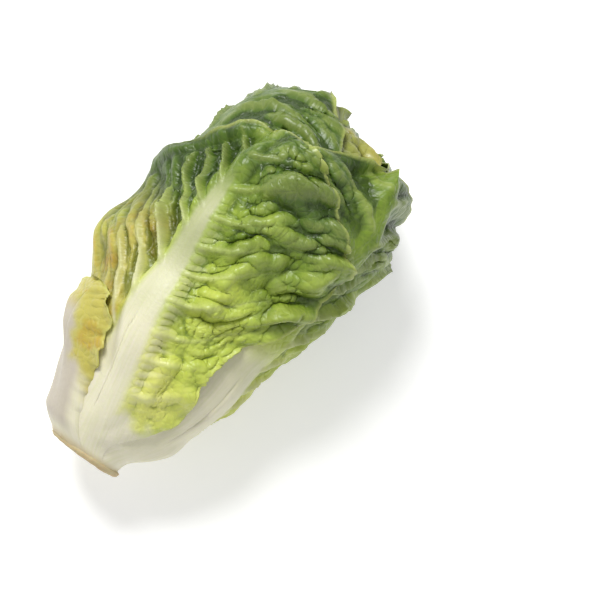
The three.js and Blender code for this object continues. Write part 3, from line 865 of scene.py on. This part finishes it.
# The short leaf's lilac grey foot, darkened with painted shade
LILAC_AND_PAINTED_SHADE = (0.48, 0.43, 0.34, 1)
# The tint that painted shade multiplies into the low places of the blade
PAINTED_SHADE_TINT = (0.27, 0.34, 0.14, 1)
HEART_GREEN = (0.62, 0.64, 0.25, 1)
HEART_PALE = (0.70, 0.68, 0.36, 1)
STEM_BROWN = (0.50, 0.38, 0.20, 1)
FLOOR_WHITE = (0.92, 0.92, 0.92, 1)
# From the palest blade at the base to the darkest at the top
GREENS = [
    (0.0, (0.64, 0.67, 0.15)), (0.25, (0.50, 0.59, 0.085)), (0.5, (0.34, 0.45, 0.05)),
    (0.75, (0.18, 0.27, 0.025)), (1.0, (0.07, 0.13, 0.012)),
]
# From the middle of the cut face over its ring to the rim and the tan side
STEM_COLOURS = [
    (0.0, (0.62, 0.56, 0.36)), (0.29, (0.66, 0.62, 0.42)), (0.36, (0.50, 0.42, 0.24)),
    (0.43, (0.66, 0.61, 0.42)), (0.69, (0.64, 0.57, 0.38)), (0.80, (0.50, 0.39, 0.19)),
    (0.96, (0.54, 0.44, 0.24)),
]


def blade_colour(n, broad, speckle, veinlets):
    """Greens, yellow with ochre spots, fine light veins, painted shade in hollows, painted light on
    crests.
    """
    green = n.maths("ADD", n.attribute("green"), n.remap(broad, 0.3, 0.7, -0.12, 0.12))
    green = n.maths("ADD", green, n.remap(speckle, 0.3, 0.7, -0.04, 0.04))
    colour = n.ramp(green, GREENS)
    warm_colour = n.blend(n.remap(broad, 0.52, 0.66, 0, 1), YELLOW, OCHRE)
    colour = n.blend(n.maths("MULTIPLY", n.attribute("warm"), 0.93), colour, warm_colour)
    colour = n.blend(n.remap(veinlets, 0.0, 0.07, 0.06, 0), colour, RIM_YELLOW)
    # Painted shade in the low places, and painted light in rim yellow on the crests
    relief_tone_and_painted_shading = n.attribute("relief_tone_and_painted_shading")
    colour = n.blend(n.remap(relief_tone_and_painted_shading, 0, 1, 0, 0.85), colour, PAINTED_SHADE_TINT, how="MULTIPLY")
    return n.blend(n.remap(relief_tone_and_painted_shading, -0.2, -1, 0, 0.15), colour, RIM_YELLOW)


def ivory_colour(n, streaks):
    """The pale parts: streaked along the rib, greener and dimmer where the blade is green, and
    lilac grey with painted shade on the short leaf's foot.
    """
    green = n.attribute("green")
    ivory = n.blend(n.remap(streaks, 0.35, 0.65, 0, 1), IVORY, IVORY_SHADE)
    ivory = n.blend(n.remap(green, 0.15, 0.9, 0, 0.8), ivory, PALE_GREEN)
    ivory = n.blend(n.remap(green, 0.02, 0.6, 0, 1), ivory, IVORY_DIM, how="MULTIPLY")
    return n.blend(n.attribute("shaded"), ivory, LILAC_AND_PAINTED_SHADE)


def leaf_material():
    n = Nodes("lettuce_leaf")
    sheet = n.attribute("sheet", "Vector")
    broad = n.noise(sheet, 0.11)
    speckle = n.noise(sheet, 0.8)
    streaks = n.noise(n.stretched(sheet, (1.3, 0.06, 1)), 1.0)
    bent = n.blend(0.12, sheet, n.noise(sheet, 0.35, output="Color"), how="LINEAR_LIGHT")
    veinlets = n.cells(bent, 0.36)
    pale = n.attribute("pale")

    colour = n.blend(pale, blade_colour(n, broad, speckle, veinlets), ivory_colour(n, streaks))
    colour = n.blend(n.maths("MULTIPLY", n.attribute("rim"), 0.4), colour, RIM_YELLOW)
    colour = n.blend(n.attribute("cut"), colour, TAN)
    n.link(colour, n.shader.inputs["Base Color"])
    rough = n.remap(speckle, 0.3, 0.7, 0.30, 0.46)
    rough = n.maths("ADD", rough, n.maths("MULTIPLY", pale, 0.12))
    n.link(rough, n.shader.inputs["Roughness"])
    n.constants({
        "Specular IOR Level": 0.4, "Coat Weight": 0.08, "Coat Roughness": 0.3,
        "Subsurface Weight": 0.12, "Subsurface Scale": 0.003,
        "Subsurface Radius": (0.8, 1.0, 0.3),
    })

    # The finest relief: speckles, streaks and, on the blade, the cells between the fine veins
    blade = n.maths("SUBTRACT", 1.0, pale, clamp=True)
    cells = n.maths("MULTIPLY", n.remap(veinlets, 0, 0.25, 0, 0.6), blade)
    fine = n.maths("ADD", n.maths("MULTIPLY", speckle, 0.5), cells)
    fine = n.maths("ADD", fine, n.maths("MULTIPLY", streaks, 0.3))
    n.bump(fine, 0.0003)
    return n.material


def heart_material():
    n = Nodes("lettuce_heart")
    place = n.add("ShaderNodeTexCoord").outputs["Object"]
    patches = n.noise(place, 60)
    colour = n.blend(n.remap(patches, 0.3, 0.7, 0, 1), HEART_GREEN, HEART_PALE)
    n.link(colour, n.shader.inputs["Base Color"])
    n.link(n.remap(patches, 0.3, 0.7, 0.4, 0.55), n.shader.inputs["Roughness"])
    n.constants({"Subsurface Weight": 0.2, "Subsurface Scale": 0.005})
    n.bump(n.noise(n.stretched(place, (20, 160, 160)), 1.0), 0.0004)
    return n.material


def stem_material():
    n = Nodes("cut_stem")
    radius = n.attribute("ring")
    place = n.add("ShaderNodeTexCoord").outputs["Object"]
    mottle = n.noise(place, 420)
    wobble = n.maths("ADD", radius, n.remap(mottle, 0, 1, -0.9, 0.9))
    face = n.ramp(n.remap(wobble, 0, STEM_RINGS, 0, 1), STEM_COLOURS)
    colour = n.blend(n.remap(mottle, 0.55, 0.75, 0, 0.6), face, STEM_BROWN)
    n.link(colour, n.shader.inputs["Base Color"])
    n.link(n.remap(mottle, 0.3, 0.7, 0.5, 0.75), n.shader.inputs["Roughness"])
    n.constants({"Subsurface Weight": 0.15, "Subsurface Scale": 0.004})
    n.bump(mottle, 0.0006)
    return n.material


def floor_material():
    n = Nodes("floor_white")
    n.constants({
        "Base Color": FLOOR_WHITE, "Roughness": 0.8,
        "Emission Color": (1, 1, 1, 1), "Emission Strength": 0.3,
    })
    return n.material


# The cut stem and the heart, each made of rings of points round the axis
def ring_faces(rings, sides):
    i, j = np.meshgrid(np.arange(rings - 1), np.arange(sides), indexing="ij")
    a, b = (i * sides + j).ravel(), (i * sides + (j + 1) % sides).ravel()
    return np.stack([a, b, b + sides, a + sides], axis=1)


def make_rings(name, grid, ends, material):
    """A closed piece from a grid of rings, with a fan to a point at each end."""
    rings, sides = grid.shape[:2]
    quads = ring_faces(rings, sides)
    lay(grid.reshape(-1, 3), quads)
    points = in_place(np.concatenate([grid.reshape(-1, 3), np.array(ends)]))
    fans = []
    last = (rings - 1) * sides
    for j in range(sides):
        ahead = (j + 1) % sides
        fans.append([ahead, j, len(points) - 2])
        fans.append([last + j, last + ahead, len(points) - 1])
    return new_object(name, points, quads.tolist() + fans, material)


def make_stem(material):
    profile = []
    for (r0, s0), (r1, s1) in zip(STEM_PROFILE, STEM_PROFILE[1:]):
        steps = max(2, int(math.hypot(r1 - r0, s1 - s0) / STEM_RING_STEP))
        profile += [(mix(r0, r1, n / steps), mix(s0, s1, n / steps)) for n in range(steps)]
    profile.append(STEM_PROFILE[-1])
    profile = [(max(r, STEM_LEAST_RADIUS), s) for r, s in profile]
    grid = turned(profile, STEM_SIDES)
    around = np.linspace(0, TAU, STEM_SIDES, endpoint=False)
    radii, s = np.array(profile)[:, :1], np.array(profile)[:, 1:]
    r = radii + 0 * around
    # The face is a little dished and rough
    u, v = r * np.cos(around), r * np.sin(around)
    lumps = 0.35 * noise(u / 2.4, v / 2.4, 91) + 0.5 * noise(u / 6, v / 6, 92)
    grid[..., 0] += smooth(s, -1.2, -1.9) * (lumps * 0.8 + 0.25 * smooth(r, 9, 2))
    # The rim is uneven, with one knob
    uneven = 1 + 0.03 * noise(2 * np.cos(around) + 3, 2 * np.sin(around), 93)[None, :]
    knob = KNOB_HEIGHT * np.exp(-((around - KNOB_AT) / KNOB_WIDTH) ** 2) * smooth(s, 1.5, 0)
    grid[..., 1:] *= (uneven + knob)[..., None]
    ends = [[s[0, 0] + 0.25, 0, 0], [s[-1, 0], 0, 0]]
    made = make_rings("cut_stem_fine", grid, ends, material)
    ring = r + (STEM_RINGS - STEM_RADIUS) * smooth(s, -1.7, 0)
    add_attribute(made, "ring", np.append(ring.ravel(), [0, 0]))
    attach(made, "root")
    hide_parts("cut_stem")


def make_heart(material):
    y = np.linspace(HEART_START, SHOULDER + HEART_RADIUS * math.pi / 2 - 0.2, HEART_ROWS)[:, None]
    around = np.linspace(0, TAU, HEART_SIDES, endpoint=False)[None, :]
    rise = np.maximum(y - SHOULDER, 0) / HEART_RADIUS
    d = np.stack([np.sin(rise) + 0 * around, -np.sin(around) * np.cos(rise),
                  np.cos(around) * np.cos(rise)], axis=-1)
    # Young leaves wrap round it, each with a step at its margin
    wrap = (around / TAU) * HEART_WRAPS + 0.8 * y / SHOULDER
    step = HEART_STEP * (wrap - np.floor(wrap)) * np.cos(rise)
    radius = HEART_RADIUS * mix(0.25, 1, smooth(y, HEART_START - 12, 75)) + step
    radius = radius + 0.5 * np.abs(noise(around * 5, y / 7 + 0 * around, 95)) * np.cos(rise)
    grid = on_rays(np.minimum(y, SHOULDER) + 0 * around, d, radius)
    ends = [[HEART_START, 0, 0], [SHOULDER + HEART_RADIUS, 0, 0]]
    made = make_rings("heart_fine", grid, ends, material)
    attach(made, "root")
    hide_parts("heart")


# The view: the camera looks straight down on the lying head
AXIS = Vector((math.cos(AXIS_TILT), 0, math.sin(AXIS_TILT)))
UP_FROM_AXIS = Vector((-math.sin(AXIS_TILT), 0, math.cos(AXIS_TILT)))
HEAD_RIGHT = Vector((0, -1, 0))
# How far the head's axis points to the right and up in the picture, as it does in the photograph
ALONG_PICTURE = (0.587, 0.81)
# The middle of the picture, from the head's cut end
FOOT = Vector(-PLACE * MM)
AIM_ALONG = 86.5 * MM
AIM_RIGHT = 30 * MM
PICTURE_WIDTH = 210 * MM
CAMERA_DISTANCE = 1.2
picture_right = ALONG_PICTURE[0] * AXIS + ALONG_PICTURE[1] * HEAD_RIGHT
picture_up = ALONG_PICTURE[1] * AXIS - ALONG_PICTURE[0] * HEAD_RIGHT
aim = FOOT + AXIS * AIM_ALONG + HEAD_RIGHT * AIM_RIGHT


# The studio: the light from all round, and half the floor's side in metres
WORLD_LIGHT = 0.4
FLOOR_HALF = 3.0


def facing(place, toward, up):
    """A matrix that puts an object at place, looking toward a point, with up upwards."""
    back = (place - toward).normalized()
    right = up.cross(back).normalized()
    turn = Matrix((right, back.cross(right), back)).transposed().to_4x4()
    return Matrix.Translation(place) @ turn


def make_camera():
    data = bpy.data.cameras.new("camera")
    data.lens = data.sensor_width * CAMERA_DISTANCE / PICTURE_WIDTH
    data.clip_end = 10
    camera = in_scene("camera", data)
    camera.matrix_world = facing(aim + UP_FROM_AXIS * CAMERA_DISTANCE, aim, picture_up)
    bpy.context.scene.camera = camera


def make_light(name, right, up, out, size, power):
    """An area light at a place given in the picture's own directions, in metres from the head."""
    data = bpy.data.lights.new(name, "AREA")
    data.shape = "DISK"
    data.size = size
    data.energy = power
    light = in_scene(name, data)
    place = aim + picture_right * right + picture_up * up + UP_FROM_AXIS * out
    light.matrix_world = facing(place, aim, picture_up)


def make_studio():
    bpy.context.scene.view_settings.view_transform = "Standard"
    make_light("key", right=-0.25, up=0.78, out=1.05, size=0.5, power=16.5)
    make_light("fill", right=0.3, up=-0.6, out=1.1, size=1.2, power=3)
    world = bpy.data.worlds.new("studio")
    bpy.context.scene.world = world
    world.use_nodes = True
    background = world.node_tree.nodes["Background"]
    background.inputs["Color"].default_value = (1, 1, 1, 1)
    background.inputs["Strength"].default_value = WORLD_LIGHT
    corners = FLOOR_HALF * np.array([[-1, -1, 0], [1, -1, 0], [1, 1, 0], [-1, 1, 0]])
    floor = new_object("floor", corners / MM, [[0, 1, 2, 3]], floor_material())


make_camera()
make_studio()
make_stem(stem_material())
make_heart(heart_material())
green_leaf = leaf_material()
for number, leaf_data in enumerate(LEAVES):
    make_leaf(leaf_data, number, green_leaf)
